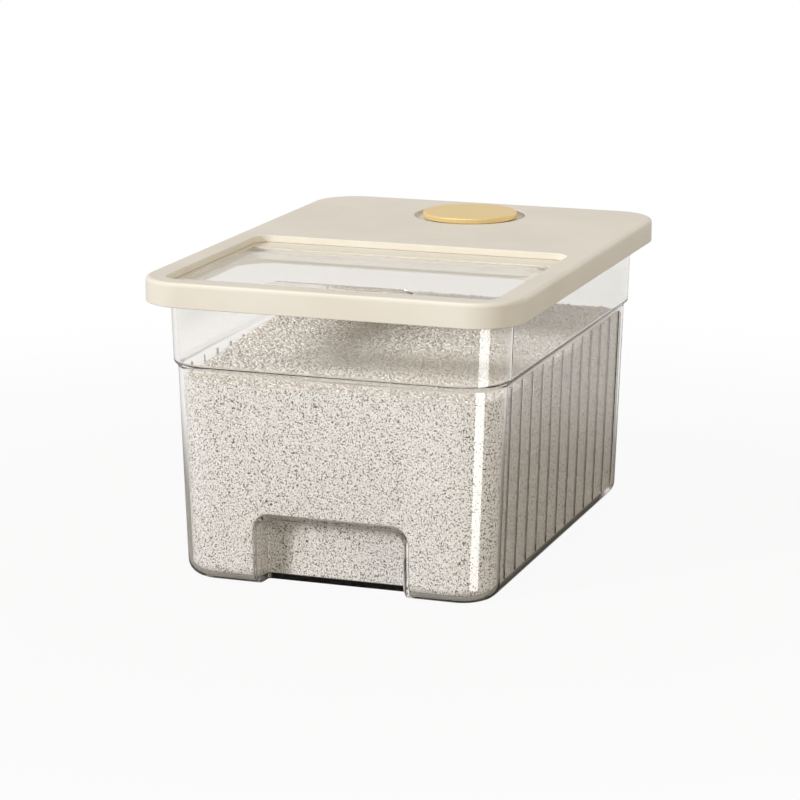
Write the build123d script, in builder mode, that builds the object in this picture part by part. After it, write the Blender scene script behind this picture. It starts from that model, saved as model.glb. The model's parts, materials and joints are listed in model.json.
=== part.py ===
from build123d import *
from math import radians, tan
import os

os.makedirs("parts", exist_ok=True)

# A clear storage bin with a lift-off lid, a hinged clear flap and a sachet cup under a round cap.
# Millimetres. X is the width, the front faces -Y, and Z = 0 is the surface that the bin stands on.

# Tank
base_width = 226.0
base_depth = 337.0
tank_corner = 26.0
draft = 2.0
tank_wall = 3.0
floor_thickness = 3.5
step_height = 150.5
step_ledge = 2.8
base_round = 11.0
floor_round = 8.0
rim_thickness = 3.0
groove_pitch = 24.2
groove_width = 2.6
groove_depth = 1.1
groove_bottom = 11.5
groove_top_gap = 3.5
notch_width = 106.0
notch_height = 48.0
notch_depth = 21.0
notch_corner = 9.0
cut_margin = 1.0

# Lid cover
lid_top = 213.0
lid_overhang = 12.0
lid_corner = 34.0
lid_edge_round = 3.0
skirt_height = 17.2
cover_wall = 2.4
rim_gap = 2.6

# Window in the cover, and the shelves of the frame that show in it
front_rail = 14.8
window_depth = 176.7
window_corner = 12.0
window_wall = 2.2
window_drop = 5.1
window_edge_round = 0.8
side_ledge = 3.7
hinge_shelf = 22.0
front_shelf = 25.5

# Lid frame
frame_plate = 2.4
frame_wall = 3.9
frame_gap = 0.5
rest_gap = 0.1
plug_gap = 1.2
seat_thickness = 2.0
seat_width = 7.6
rear_seat = 6.0
pocket_corner = 6.0
rib = 2.2
finger_well_side = 4.0

# Soft seals
seal_groove_depth = 1.4
seal_height = 3.2
seal_below_plate = 2.9
seal_clearance = 0.3
flap_seal_width = 5.0
flap_seal_height = 2.0
flap_seal_gap = 0.2
flap_seal_margin = 0.5

# Flap and its hinge
flap_thickness = 2.6
flap_below_ledge = 0.5
flap_gap = 0.5
hinge_back = 5.5
hinge_below_pane = 0.4
pin_radius = 1.5
pin_grip = 2.2
pin_running_gap = 0.05
knuckle_radius = 3.25
knuckle_length = 10.5
knuckle_room = 1.95
trough_skin = 1.8
pane_tail = 3.0
lip_length = 116.0
lip_ramp = 13.0
lip_height = 3.2
lip_thickness = 3.2

# Screws between frame and cover
screw_radius = 1.5
screw_head_radius = 2.8
screw_head_height = 1.5
screw_gap = 0.1
boss_radius = 3.25
boss_skin = 1.2
rail_screw_front = 58.0
rail_screw_pitch = 75.0
rear_screw_inset = 20.0
rear_screw_front = 43.0

# Sachet cup and its cap
cap_radius = 35.5
cap_from_rear = 56.7
cap_proud = 2.7
cap_plate_thickness = 1.2
cap_edge_round = 1.0
cap_overhang = 4.7
cap_plug_wall = 2.2
cap_plug_reach = 9.0
cap_lift_gap = 1.4
finger_ring = 6.5
well_floor = 1.5
cup_gap = 0.5
cup_wall = 2.1
cup_depth = 21.5
cup_flange = 6.5
cup_flange_thickness = 1.3
cup_hole_gap = 0.5
grille_thickness = 1.6
grille_ledge = 3.4
grille_slot = 3.0
grille_slot_pitch = 6.0
grille_slot_count = 7
grille_rim = 4.0
ring_thickness = 1.7
ring_clearance = 0.3
ring_groove_play = 0.3
ring_from_well = 3.4

# Places that follow from the driving dimensions
slope = tan(radians(draft))
frame_top = lid_top - window_drop
frame_under = frame_top - frame_plate
rim_top = frame_under - rest_gap
skirt_bottom = lid_top - skirt_height
pane_top = frame_top - flap_below_ledge
pane_bottom = pane_top - flap_thickness
seat_top = pane_bottom - flap_seal_gap - flap_seal_height
seat_under = seat_top - seat_thickness
hinge_z = pane_bottom - hinge_below_pane
trough_floor = hinge_z - knuckle_radius - knuckle_room
plug_bottom = trough_floor - trough_skin
lower_growth = step_height * slope
rim_growth = rim_top * slope + step_ledge
mouth_growth = plug_bottom * slope + step_ledge - tank_wall

lid_width = base_width + 2 * (rim_growth + lid_overhang)
lid_depth = base_depth + 2 * (rim_growth + lid_overhang)
lid_front = -lid_depth / 2
plug_width = base_width + 2 * (mouth_growth - plug_gap)
plug_depth = base_depth + 2 * (mouth_growth - plug_gap)
plug_corner = tank_corner + mouth_growth - plug_gap
inner_half = plug_width / 2 - frame_wall
plug_front_inner = -plug_depth / 2 + frame_wall
plug_rear_inner = plug_depth / 2 - frame_wall

window_width = 2 * (inner_half + side_ledge)
window_front = lid_front + front_rail
window_rear = window_front + window_depth
window_middle = (window_front + window_rear) / 2

pocket_front = window_front + front_shelf
pocket_rear = window_rear - hinge_shelf
hinge_y = pocket_rear - hinge_back
trough_front = hinge_y - hinge_back
finger_well_width = lip_length + 2 * finger_well_side

cap_y = lid_depth / 2 - cap_from_rear
cap_top = lid_top + cap_proud
well_radius = cap_radius + finger_ring
well_under = frame_top + cup_flange_thickness
well_bottom = well_under + well_floor
cap_under = well_bottom + cap_lift_gap
cap_plug_radius = cap_radius - cap_overhang
cup_bore = cap_plug_radius + cup_gap
cup_outer = cup_bore + cup_wall
cup_bottom = frame_top - cup_depth
ring_groove_depth = ring_thickness + ring_clearance - cup_gap
ring_groove_height = ring_thickness + ring_groove_play

rail_screw_x = (window_width / 2 + window_wall + lid_width / 2 - cover_wall) / 2
rear_screw_x = inner_half - rear_screw_inset
rear_screw_places = (window_rear + rear_screw_front, plug_rear_inner - rear_screw_inset)
rail_screw_start = window_front + rail_screw_front
rail_screw_places = (rail_screw_start, rail_screw_start + rail_screw_pitch)
screw_points = [(side * rail_screw_x, y) for side in (-1, 1) for y in rail_screw_places]
screw_points += [(side * rear_screw_x, y) for side in (-1, 1) for y in rear_screw_places]
groove_count = int((base_depth - 2 * tank_corner) / groove_pitch) + 1
upward = (Align.CENTER, Align.CENTER, Align.MIN)


def save(builder, name):
    """Labels a finished piece and writes it as its own STEP file."""
    builder.part.label = name
    export_step(builder.part, f"parts/{name}.step")


def slab(width, depth, corner, low, high, middle=0.0, mode=Mode.ADD):
    """Adds an upright block with rounded corners to the part that is being built."""
    with BuildSketch(Plane.XY.offset(low)) as outline:
        with Locations((0, middle)):
            RectangleRounded(width, depth, corner)
    extrude(outline.sketch, amount=high - low, mode=mode)


def block(half_x, front, rear, low, high, mode=Mode.ADD):
    """Adds a square-cornered block, centred on the width, between two places in depth."""
    with Locations((0, (front + rear) / 2, (low + high) / 2)):
        Box(2 * half_x, rear - front, high - low, mode=mode)


def drafted(width, depth, corner, low, high):
    """Adds a block with rounded corners whose walls lean outwards by the draft."""
    with BuildSketch(Plane.XY.offset(low)) as outline:
        RectangleRounded(width, depth, corner)
    extrude(outline.sketch, amount=high - low, taper=-draft)


def notch_pair(grow):
    """Makes the two hand-grip notches as one cutter, larger all round by grow."""
    back = base_depth / 2 - notch_depth - grow
    reach = notch_depth + grow + rim_growth
    with BuildPart() as cutter:
        with BuildSketch(Plane.XZ.offset(back)) as outline:
            Rectangle(notch_width + 2 * grow, notch_height + grow, align=(Align.CENTER, Align.MIN))
            fillet(outline.vertices().group_by(Axis.Y)[-1], notch_corner + grow)
        extrude(amount=reach)
        mirror(about=Plane.XZ)
    return cutter.part


# Tank: outer form less the cavity, with the notches standing into the cavity as pockets
inner_start = floor_thickness * slope - tank_wall
inner_step = step_height + tank_wall
upper_start = lower_growth + step_ledge
with BuildPart() as cavity:
    drafted(
        base_width + 2 * inner_start,
        base_depth + 2 * inner_start,
        tank_corner + inner_start,
        floor_thickness,
        inner_step,
    )
    fillet(cavity.faces().sort_by(Axis.Z)[0].edges(), floor_round)
    upper_inner = inner_step * slope + step_ledge - tank_wall
    drafted(
        base_width + 2 * upper_inner,
        base_depth + 2 * upper_inner,
        tank_corner + upper_inner,
        inner_step,
        rim_top + cut_margin,
    )
    add(notch_pair(tank_wall), mode=Mode.SUBTRACT)

groove_length = step_height - groove_top_gap - groove_bottom
groove_wall = base_width / 2 + groove_bottom * slope
with BuildPart() as tank:
    drafted(base_width, base_depth, tank_corner, 0, step_height)
    fillet(tank.faces().sort_by(Axis.Z)[0].edges(), base_round)
    drafted(
        base_width + 2 * upper_start,
        base_depth + 2 * upper_start,
        tank_corner + upper_start,
        step_height,
        rim_top,
    )
    rim_inset = cover_wall + rim_gap
    slab(
        lid_width - 2 * rim_inset,
        lid_depth - 2 * rim_inset,
        lid_corner - rim_inset,
        rim_top - rim_thickness,
        rim_top,
    )
    add(cavity.part, mode=Mode.SUBTRACT)
    add(notch_pair(0), mode=Mode.SUBTRACT)
    for side in (-1, 1):
        for index in range(groove_count):
            groove_y = (index - (groove_count - 1) / 2) * groove_pitch
            groove_plane = Plane(
                origin=(side * groove_wall, groove_y, groove_bottom),
                x_dir=(0, side, 0),
                z_dir=(side * slope, 0, 1),
            )
            with BuildSketch(groove_plane):
                with BuildLine():
                    Polyline(
                        (-groove_width, -groove_depth),
                        (groove_width, -groove_depth),
                        (0, groove_depth),
                        close=True,
                    )
                make_face()
            extrude(amount=groove_length, mode=Mode.SUBTRACT)
save(tank, "tank")

# Lid cover: deck and skirt, the window with its short wall, and the round well for the cap
deck_under = lid_top - cover_wall
with BuildPart() as lid_cover:
    slab(lid_width, lid_depth, lid_corner, skirt_bottom, lid_top)
    fillet(lid_cover.faces().sort_by(Axis.Z)[-1].edges(), lid_edge_round)
    slab(
        lid_width - 2 * cover_wall,
        lid_depth - 2 * cover_wall,
        lid_corner - cover_wall,
        skirt_bottom,
        deck_under,
        mode=Mode.SUBTRACT,
    )
    slab(
        window_width + 2 * window_wall,
        window_depth + 2 * window_wall,
        window_corner + window_wall,
        frame_top,
        deck_under,
        window_middle,
    )
    with Locations((0, cap_y, well_under)):
        Cylinder(well_radius + window_wall, deck_under - well_under, align=upward)
    with Locations(*[(x, y, frame_top) for x, y in screw_points]):
        Cylinder(boss_radius, deck_under - frame_top, align=upward)
    slab(window_width, window_depth, window_corner, frame_top, lid_top, window_middle, mode=Mode.SUBTRACT)
    with Locations((0, cap_y, well_bottom)):
        Cylinder(well_radius, lid_top - well_bottom, align=upward, mode=Mode.SUBTRACT)
    with Locations((0, cap_y, well_under)):
        Cylinder(cup_bore, well_floor, align=upward, mode=Mode.SUBTRACT)
    with Locations(*[(x, y, frame_top) for x, y in screw_points]):
        Cylinder(
            screw_radius + screw_gap,
            lid_top - boss_skin - frame_top,
            align=upward,
            mode=Mode.SUBTRACT,
        )
    deck = lid_cover.faces().sort_by(Axis.Z)[-1]
    fillet([edge for wire in deck.inner_wires() for edge in wire.edges()], window_edge_round)
save(lid_cover, "lid_cover")

# Lid frame: plate under the cover, plug in the tank's mouth, flap pocket, hinge trough and finger well
plate_inset = cover_wall + frame_gap
hole_half = inner_half - seat_width
well_half = finger_well_width / 2
groove_high = frame_under - seal_below_plate
groove_low = groove_high - seal_height
with BuildPart() as lid_frame:
    slab(
        lid_width - 2 * plate_inset,
        lid_depth - 2 * plate_inset,
        lid_corner - plate_inset,
        frame_under,
        frame_top,
    )
    slab(plug_width, plug_depth, plug_corner, plug_bottom, frame_under)
    # Hollow under the flap seat and the front shelf
    front_zone = trough_front - rib - plug_front_inner
    slab(
        2 * inner_half,
        front_zone,
        plug_corner - frame_wall,
        plug_bottom,
        seat_under,
        plug_front_inner + front_zone / 2,
        mode=Mode.SUBTRACT,
    )
    # Hollow under the rear deck
    rear_zone = plug_rear_inner - pocket_rear - rib
    slab(
        2 * inner_half,
        rear_zone,
        plug_corner - frame_wall,
        plug_bottom,
        frame_under,
        plug_rear_inner - rear_zone / 2,
        mode=Mode.SUBTRACT,
    )
    # Hollows under the front shelf, left and right of the finger well
    shelf_end = inner_half - (plug_corner - frame_wall)
    shelf_hollow = shelf_end - well_half - rib
    shelf_depth = pocket_front - rib - plug_front_inner
    with BuildSketch(Plane.XY.offset(seat_under)):
        for side in (-1, 1):
            with Locations((side * (well_half + rib + shelf_hollow / 2), plug_front_inner + shelf_depth / 2)):
                RectangleRounded(shelf_hollow, shelf_depth, pocket_corner)
    extrude(amount=frame_under - seat_under, mode=Mode.SUBTRACT)
    # Flap pocket down to its seat, the hole to the tank, and the trough behind the hinge line
    slab(
        2 * inner_half,
        pocket_rear - pocket_front,
        pocket_corner,
        seat_top,
        frame_top,
        (pocket_front + pocket_rear) / 2,
        mode=Mode.SUBTRACT,
    )
    hole_front = pocket_front + seat_width
    hole_rear = trough_front - rear_seat
    slab(
        2 * hole_half,
        hole_rear - hole_front,
        pocket_corner,
        seat_under,
        seat_top,
        (hole_front + hole_rear) / 2,
        mode=Mode.SUBTRACT,
    )
    block(inner_half, trough_front, pocket_rear, trough_floor, frame_top, mode=Mode.SUBTRACT)
    # Finger well in front of the flap's lip
    finger_well_depth = pocket_front + pocket_corner - plug_front_inner
    slab(
        finger_well_width,
        finger_well_depth,
        pocket_corner,
        seat_top,
        frame_top,
        plug_front_inner + finger_well_depth / 2,
        mode=Mode.SUBTRACT,
    )
    # Hole for the sachet cup
    with Locations((0, cap_y, frame_under)):
        Cylinder(
            cup_outer + cup_hole_gap,
            frame_plate,
            align=upward,
            mode=Mode.SUBTRACT,
        )
    # Groove for the soft seal round the plug
    with BuildSketch(Plane.XY.offset(groove_low)):
        RectangleRounded(
            plug_width + 2 * cut_margin, plug_depth + 2 * cut_margin, plug_corner + cut_margin
        )
        RectangleRounded(
            plug_width - 2 * seal_groove_depth,
            plug_depth - 2 * seal_groove_depth,
            plug_corner - seal_groove_depth,
            mode=Mode.SUBTRACT,
        )
    extrude(amount=seal_height, mode=Mode.SUBTRACT)
    # Countersunk screw holes, from below
    with Locations(*[(x, y, frame_under) for x, y in screw_points]):
        Cone(
            screw_head_radius + screw_gap,
            screw_radius + screw_gap,
            screw_head_height,
            align=upward,
            mode=Mode.SUBTRACT,
        )
        Cylinder(
            screw_radius + screw_gap,
            frame_plate,
            align=upward,
            mode=Mode.SUBTRACT,
        )
    # Blind holes for the hinge pins, one in each side wall
    with Locations((0, hinge_y, hinge_z)):
        Cylinder(pin_radius, 2 * (inner_half + pin_grip), rotation=(0, 90, 0), mode=Mode.SUBTRACT)
save(lid_frame, "lid_frame")

# Soft seal round the plug
seal_stand = plug_gap - seal_clearance
with BuildPart() as lid_seal:
    with BuildSketch(Plane.XY.offset(groove_low)):
        RectangleRounded(plug_width + 2 * seal_stand, plug_depth + 2 * seal_stand, plug_corner + seal_stand)
        RectangleRounded(
            plug_width - 2 * seal_groove_depth,
            plug_depth - 2 * seal_groove_depth,
            plug_corner - seal_groove_depth,
            mode=Mode.SUBTRACT,
        )
    extrude(amount=seal_height)
save(lid_seal, "lid_seal")

# Countersunk screws, as separate solids
screw_length = lid_top - boss_skin - frame_under - screw_gap
with BuildPart() as lid_screws:
    with Locations(*[(x, y, frame_under) for x, y in screw_points]):
        Cone(
            screw_head_radius,
            screw_radius,
            screw_head_height,
            align=upward,
        )
        Cylinder(screw_radius, screw_length, align=upward)
save(lid_screws, "lid_screws")

# Flap: clear pane with an upright finger lip at its front edge and a knuckle at each rear corner
flap_half = inner_half - flap_gap
flap_front = pocket_front + flap_gap
pane_rear = hinge_y + pane_tail
knuckle_middle = flap_half - knuckle_length / 2
lip_half = lip_length / 2
with BuildPart() as flap:
    slab(
        2 * flap_half,
        pane_rear - flap_front,
        pocket_corner - flap_gap,
        pane_bottom,
        pane_top,
        (flap_front + pane_rear) / 2,
    )
    with BuildSketch(Plane.XZ.offset(-flap_front)):
        with BuildLine():
            Polyline(
                (-lip_half, pane_top),
                (-lip_half + lip_ramp, pane_top + lip_height),
                (lip_half - lip_ramp, pane_top + lip_height),
                (lip_half, pane_top),
                close=True,
            )
        make_face()
    extrude(amount=-lip_thickness)
    with Locations((-knuckle_middle, hinge_y, hinge_z), (knuckle_middle, hinge_y, hinge_z)):
        Cylinder(knuckle_radius, knuckle_length, rotation=(0, 90, 0))
        Cylinder(
            pin_radius + pin_running_gap,
            knuckle_length,
            rotation=(0, 90, 0),
            mode=Mode.SUBTRACT,
        )
save(flap, "flap")

# Soft ring on the flap's seat
ring_half = inner_half - 2 * flap_gap
ring_front = pocket_front + 2 * flap_gap
ring_rear = trough_front - flap_seal_margin
with BuildPart() as flap_seal:
    with BuildSketch(Plane.XY.offset(seat_top)):
        with Locations((0, (ring_front + ring_rear) / 2)):
            RectangleRounded(2 * ring_half, ring_rear - ring_front, pocket_corner)
            RectangleRounded(
                2 * (ring_half - flap_seal_width),
                ring_rear - ring_front - 2 * flap_seal_width,
                pocket_corner,
                mode=Mode.SUBTRACT,
            )
    extrude(amount=flap_seal_height)
save(flap_seal, "flap_seal")

# Hinge pins, pressed into the side walls of the frame
pin_length = flap_gap + knuckle_length + pin_grip
for side, name in ((-1, "hinge_pin_left"), (1, "hinge_pin_right")):
    with BuildPart() as hinge_pin:
        with Locations((side * (inner_half + pin_grip - pin_length / 2), hinge_y, hinge_z)):
            Cylinder(pin_radius, pin_length, rotation=(0, 90, 0))
    save(hinge_pin, name)

# Sachet cup, whose flange is clamped between the frame's plate and the floor of the well
with BuildPart() as sachet_cup:
    with BuildSketch(Plane.XZ) as cup_section:
        with BuildLine():
            Polyline(
                (cup_bore, cup_bottom + grille_thickness),
                (cup_bore, well_under),
                (cup_outer + cup_flange, well_under),
                (cup_outer + cup_flange, frame_top),
                (cup_outer, frame_top),
                (cup_outer, cup_bottom),
                (cup_bore - grille_ledge, cup_bottom),
                (cup_bore - grille_ledge, cup_bottom + grille_thickness),
                close=True,
            )
        make_face()
    revolve(axis=Axis.Z)
sachet_cup.part.position = (0, cap_y, 0)
save(sachet_cup, "sachet_cup")

# Slotted disc on the ledge at the bottom of the cup
grille_low = cup_bottom + grille_thickness
grille_reach = cup_bore - grille_rim
with BuildPart() as cup_grille:
    with BuildSketch(Plane.XY.offset(grille_low)):
        with Locations((0, cap_y)):
            Circle(cup_bore)
            for index in range(grille_slot_count):
                slot_x = (index - (grille_slot_count - 1) / 2) * grille_slot_pitch
                slot_length = 2 * (grille_reach**2 - slot_x**2) ** 0.5 - 2 * grille_slot
                with Locations((slot_x, 0)):
                    SlotOverall(slot_length, grille_slot, rotation=90, mode=Mode.SUBTRACT)
    extrude(amount=grille_thickness)
save(cup_grille, "cup_grille")

# Round cap: a thin plated cover over a plug that carries an O-ring
plate_inside = cap_radius - cap_plate_thickness
with BuildPart() as cap_plate:
    with Locations((0, cap_y, cap_under)):
        Cylinder(cap_radius, cap_top - cap_under, align=upward)
    fillet(cap_plate.faces().sort_by(Axis.Z)[-1].edges(), cap_edge_round)
    with Locations((0, cap_y, cap_under)):
        Cylinder(
            plate_inside,
            cap_top - cap_plate_thickness - cap_under,
            align=upward,
            mode=Mode.SUBTRACT,
        )
save(cap_plate, "cap_plate")

ring_groove_high = well_bottom - ring_from_well
ring_groove_low = ring_groove_high - ring_groove_height
plug_low = well_bottom - cap_plug_reach
with BuildPart() as cap_plug:
    with BuildSketch(Plane.XZ):
        with BuildLine():
            Polyline(
                (0, cap_top - cap_plate_thickness),
                (plate_inside, cap_top - cap_plate_thickness),
                (plate_inside, cap_under),
                (cap_plug_radius, cap_under),
                (cap_plug_radius, ring_groove_high),
                (cap_plug_radius - ring_groove_depth, ring_groove_high),
                (cap_plug_radius - ring_groove_depth, ring_groove_low),
                (cap_plug_radius, ring_groove_low),
                (cap_plug_radius, plug_low),
                (cap_plug_radius - ring_groove_depth - cap_plug_wall, plug_low),
                (cap_plug_radius - ring_groove_depth - cap_plug_wall, cap_under),
                (0, cap_under),
                close=True,
            )
        make_face()
    revolve(axis=Axis.Z)
cap_plug.part.position = (0, cap_y, 0)
save(cap_plug, "cap_plug")

ring_path_radius = cap_plug_radius - ring_groove_depth + ring_thickness / 2
with BuildPart() as cap_seal:
    with Locations((0, cap_y, (ring_groove_low + ring_groove_high) / 2)):
        Torus(ring_path_radius, ring_thickness / 2)
save(cap_seal, "cap_seal")
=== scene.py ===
"""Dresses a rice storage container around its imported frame.

The clear tank, the lid cover, the clear flap and the round cap are modelled over their plain solids,
rice is put in the tank, and every other piece of the frame gets its finish.
"""

import json
import logging
import math
import random
from abc import ABC, abstractmethod
from collections.abc import Callable, Iterator, Sequence
from contextlib import contextmanager
from dataclasses import dataclass
from enum import Enum

import bmesh
import bpy
import numpy as np
from mathutils import Matrix, Vector


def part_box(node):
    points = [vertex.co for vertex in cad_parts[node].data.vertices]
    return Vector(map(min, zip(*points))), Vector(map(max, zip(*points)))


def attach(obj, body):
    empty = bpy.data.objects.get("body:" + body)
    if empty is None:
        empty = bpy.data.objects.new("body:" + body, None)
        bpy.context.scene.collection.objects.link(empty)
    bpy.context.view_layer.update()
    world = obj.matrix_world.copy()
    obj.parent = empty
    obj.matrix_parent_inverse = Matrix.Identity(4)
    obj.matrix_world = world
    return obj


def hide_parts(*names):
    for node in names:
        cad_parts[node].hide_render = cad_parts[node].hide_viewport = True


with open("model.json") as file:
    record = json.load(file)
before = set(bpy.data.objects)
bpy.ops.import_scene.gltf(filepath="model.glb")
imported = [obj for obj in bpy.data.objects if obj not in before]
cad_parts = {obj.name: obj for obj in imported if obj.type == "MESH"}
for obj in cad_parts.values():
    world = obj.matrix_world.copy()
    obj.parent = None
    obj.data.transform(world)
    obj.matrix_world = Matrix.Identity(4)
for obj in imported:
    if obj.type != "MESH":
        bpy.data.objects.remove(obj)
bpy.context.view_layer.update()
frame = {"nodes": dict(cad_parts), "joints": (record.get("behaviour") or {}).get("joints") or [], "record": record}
log = logging.getLogger("rice_container")

CORNER_SEGMENTS = 16
ROUND_SEGMENTS = 6
FILLET_SEGMENTS = 4
RIM_SEGMENTS = 5
DRUM_SIDES = 96
MERGE_DISTANCE = 2e-6
NEAR = 1e-4
MARGIN = 1e-3
SHARP_ANGLE = math.radians(32)
NO_TURN = (0.0, 0.0, 0.0)
LEVEL_LIMIT = 0.9
RICH_DETAIL = 3.0
NOISE_MIDDLE = (0.3, 0.7)
GRAIN_TONE = "tone"

Piece = bpy.types.Object
Span = tuple[float, float]
Triple = tuple[float, float, float]
Colour = tuple[float, float, float, float]
Steps = list[Span]


def mm(value: float) -> float:
    """Millimetres as metres."""
    return value * 0.001


class Facing(Enum):
    """Which way a flat face looks, and is then carried on."""

    UP = 1
    DOWN = -1


class Joining(Enum):
    """How a tool acts on the piece that it is brought to."""

    CUT = "DIFFERENCE"
    ADD = "UNION"


@dataclass(frozen=True)
class Plan:
    """A rounded rectangle seen from above, centred on the width, in metres."""

    half_x: float
    half_y: float
    corner: float
    middle_y: float = 0.0

    def offset(self, distance: float) -> "Plan":
        """The same outline moved outwards all round."""
        return Plan(self.half_x + distance, self.half_y + distance, self.corner + distance, self.middle_y)


def take(piece: Piece) -> None:
    """Selects one object alone and makes it active.

    Args:
        piece: The object.
    """
    bpy.ops.object.select_all(action="DESELECT")
    piece.select_set(True)
    bpy.context.view_layer.objects.active = piece


@contextmanager
def editing(piece: Piece) -> Iterator[None]:
    """Opens a piece in edit mode, with all of it selected.

    Args:
        piece: The mesh object to edit.
    """
    take(piece)
    bpy.ops.object.mode_set(mode="EDIT")
    bpy.ops.mesh.select_all(action="SELECT")
    yield
    bpy.ops.object.mode_set(mode="OBJECT")


class Element(Enum):
    """Which elements of a mesh a test picks from."""

    EDGE = "EDGE"
    FACE = "FACE"


def pick(piece: Piece, kind: Element, wanted: Callable[..., bool]) -> None:
    """Selects, in edit mode, the edges or faces that pass a test.

    Args:
        piece: The object in edit mode.
        kind: Whether edges or faces are tested.
        wanted: Says of an edge or face whether it is taken.
    """
    bpy.ops.mesh.select_mode(type=kind.value)
    bpy.ops.mesh.select_all(action="DESELECT")
    form = bmesh.from_edit_mesh(piece.data)
    for item in form.edges if kind is Element.EDGE else form.faces:
        item.select_set(wanted(item))
    bmesh.update_edit_mesh(piece.data)


def pick_edges(piece: Piece, wanted: Callable[[Vector, Vector], bool]) -> None:
    """Selects, in edit mode, the edges whose two ends pass a test."""
    pick(piece, Element.EDGE, lambda edge: wanted(edge.verts[0].co, edge.verts[1].co))


def pick_faces(piece: Piece, wanted: Callable[[Vector], bool]) -> None:
    """Selects, in edit mode, the faces whose normal passes a test."""
    pick(piece, Element.FACE, lambda face: wanted(face.normal))


def settle(piece: Piece, place: Vector, scale: Vector, turn: Vector | None = None) -> None:
    """Scales, turns and moves a fresh primitive, and writes all of that into its mesh.

    Args:
        piece: A primitive made at the origin.
        place: Where its middle goes.
        scale: Its size along each axis.
        turn: Euler angles in radians, or None for none.
    """
    take(piece)
    piece.scale = scale
    piece.rotation_euler = turn or NO_TURN
    piece.location = place
    bpy.ops.object.transform_apply(location=True, rotation=True, scale=True)


def block(name: str, low: Vector, high: Vector) -> Piece:
    """Adds a square-cornered block between two corners, to be shaped further.

    Args:
        name: The object's name.
        low: Its lowest corner.
        high: Its highest corner.

    Returns:
        The new object.
    """
    bpy.ops.mesh.primitive_cube_add(size=1.0)
    piece = bpy.context.object
    piece.name = name
    settle(piece, (low + high) / 2, high - low)
    return piece


def drum(name: str, radius: float, low: Vector, length: float, turn: Vector | None = None) -> Piece:
    """Adds a round bar, to be shaped further.

    Args:
        name: The object's name.
        radius: Its radius.
        low: The middle of its lower end, or of the bar where it is turned.
        length: Its length along its axis.
        turn: Euler angles in radians that lay it over, or None for an upright bar.

    Returns:
        The new object.
    """
    bpy.ops.mesh.primitive_cylinder_add(vertices=DRUM_SIDES, radius=radius, depth=length)
    piece = bpy.context.object
    piece.name = name
    middle = low if turn else low + Vector((0.0, 0.0, length / 2))
    settle(piece, middle, Vector((1.0, 1.0, 1.0)), turn)
    return piece


def quarter_round(radius: float) -> Steps:
    """Steps that turn a straight wall inwards by a quarter circle.

    Args:
        radius: The rounding's radius.

    Returns:
        One inset and one rise for each step.
    """
    turns = [math.pi / 2 * step / ROUND_SEGMENTS for step in range(ROUND_SEGMENTS + 1)]
    return [
        (radius * (math.cos(a) - math.cos(b)), radius * (math.sin(b) - math.sin(a)))
        for a, b in zip(turns, turns[1:])
    ]


def swell(inset: float, rise: float) -> Steps:
    """Steps that bring a wall in along a soft double curve.

    Args:
        inset: How far the wall comes in.
        rise: The height that this takes.

    Returns:
        One inset and one rise for each step.
    """
    shares = [(1 - math.cos(math.pi * step / ROUND_SEGMENTS)) / 2 for step in range(ROUND_SEGMENTS + 1)]
    return [(inset * (b - a), rise / ROUND_SEGMENTS) for a, b in zip(shares, shares[1:])]


def stack(
    name: str,
    plan: Plan,
    level: float,
    rise: float,
    steps: Sequence[Span] = (),
    facing: Facing = Facing.UP,
) -> Piece:
    """Builds a closed solid from a rounded rectangle: a straight prism, then tapering steps on its far end.

    Args:
        name: The object's name.
        plan: The outline that it starts from.
        level: The height of that outline.
        rise: The length of the straight prism.
        steps: An inset and a further rise for each step.
        facing: Whether it is built upwards or downwards.

    Returns:
        The new object.
    """
    bpy.ops.mesh.primitive_plane_add(size=1.0)
    piece = bpy.context.object
    piece.name = name
    settle(piece, Vector((0.0, plan.middle_y, level)), Vector((2 * plan.half_x, 2 * plan.half_y, 1.0)))
    with editing(piece):
        bpy.ops.mesh.bevel(
            offset=plan.corner,
            segments=CORNER_SEGMENTS,
            profile=0.5,
            affect="VERTICES",
            clamp_overlap=False,
        )
        bpy.ops.mesh.select_all(action="SELECT")
        if facing is Facing.DOWN:
            bpy.ops.mesh.flip_normals()
        bpy.ops.mesh.extrude_region_move(TRANSFORM_OT_translate={"value": (0.0, 0.0, facing.value * rise)})
        for thickness, depth in steps:
            bpy.ops.mesh.inset(thickness=thickness, depth=depth, use_even_offset=True)
        bpy.ops.mesh.select_all(action="SELECT")
        bpy.ops.mesh.normals_make_consistent(inside=False)
    return piece


def combine(piece: Piece, tool: Piece, joining: Joining) -> None:
    """Cuts a tool from a piece or adds it, and deletes the tool.

    Args:
        piece: The object that stays.
        tool: The object that is used up.
        joining: Whether the tool is cut or added.
    """
    modifier = piece.modifiers.new("combine", "BOOLEAN")
    modifier.operation = joining.value
    modifier.solver = "EXACT"
    modifier.object = tool
    take(piece)
    bpy.ops.object.modifier_apply(modifier=modifier.name)
    bpy.data.objects.remove(tool, do_unlink=True)


def merge(name: str, pieces: Sequence[Piece]) -> Piece:
    """Joins pieces that don't touch into one object.

    Args:
        name: The joined object's name.
        pieces: The objects to join.

    Returns:
        The joined object.
    """
    take(pieces[0])
    for piece in pieces:
        piece.select_set(True)
    bpy.ops.object.join()
    joined = bpy.context.object
    joined.name = name
    return joined


def clean(piece: Piece) -> None:
    """Merges doubled points and turns every face outwards.

    Args:
        piece: The object to clean.
    """
    with editing(piece):
        bpy.ops.mesh.remove_doubles(threshold=MERGE_DISTANCE)
        bpy.ops.mesh.dissolve_degenerate(threshold=MERGE_DISTANCE)
        bpy.ops.mesh.normals_make_consistent(inside=False)


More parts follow.
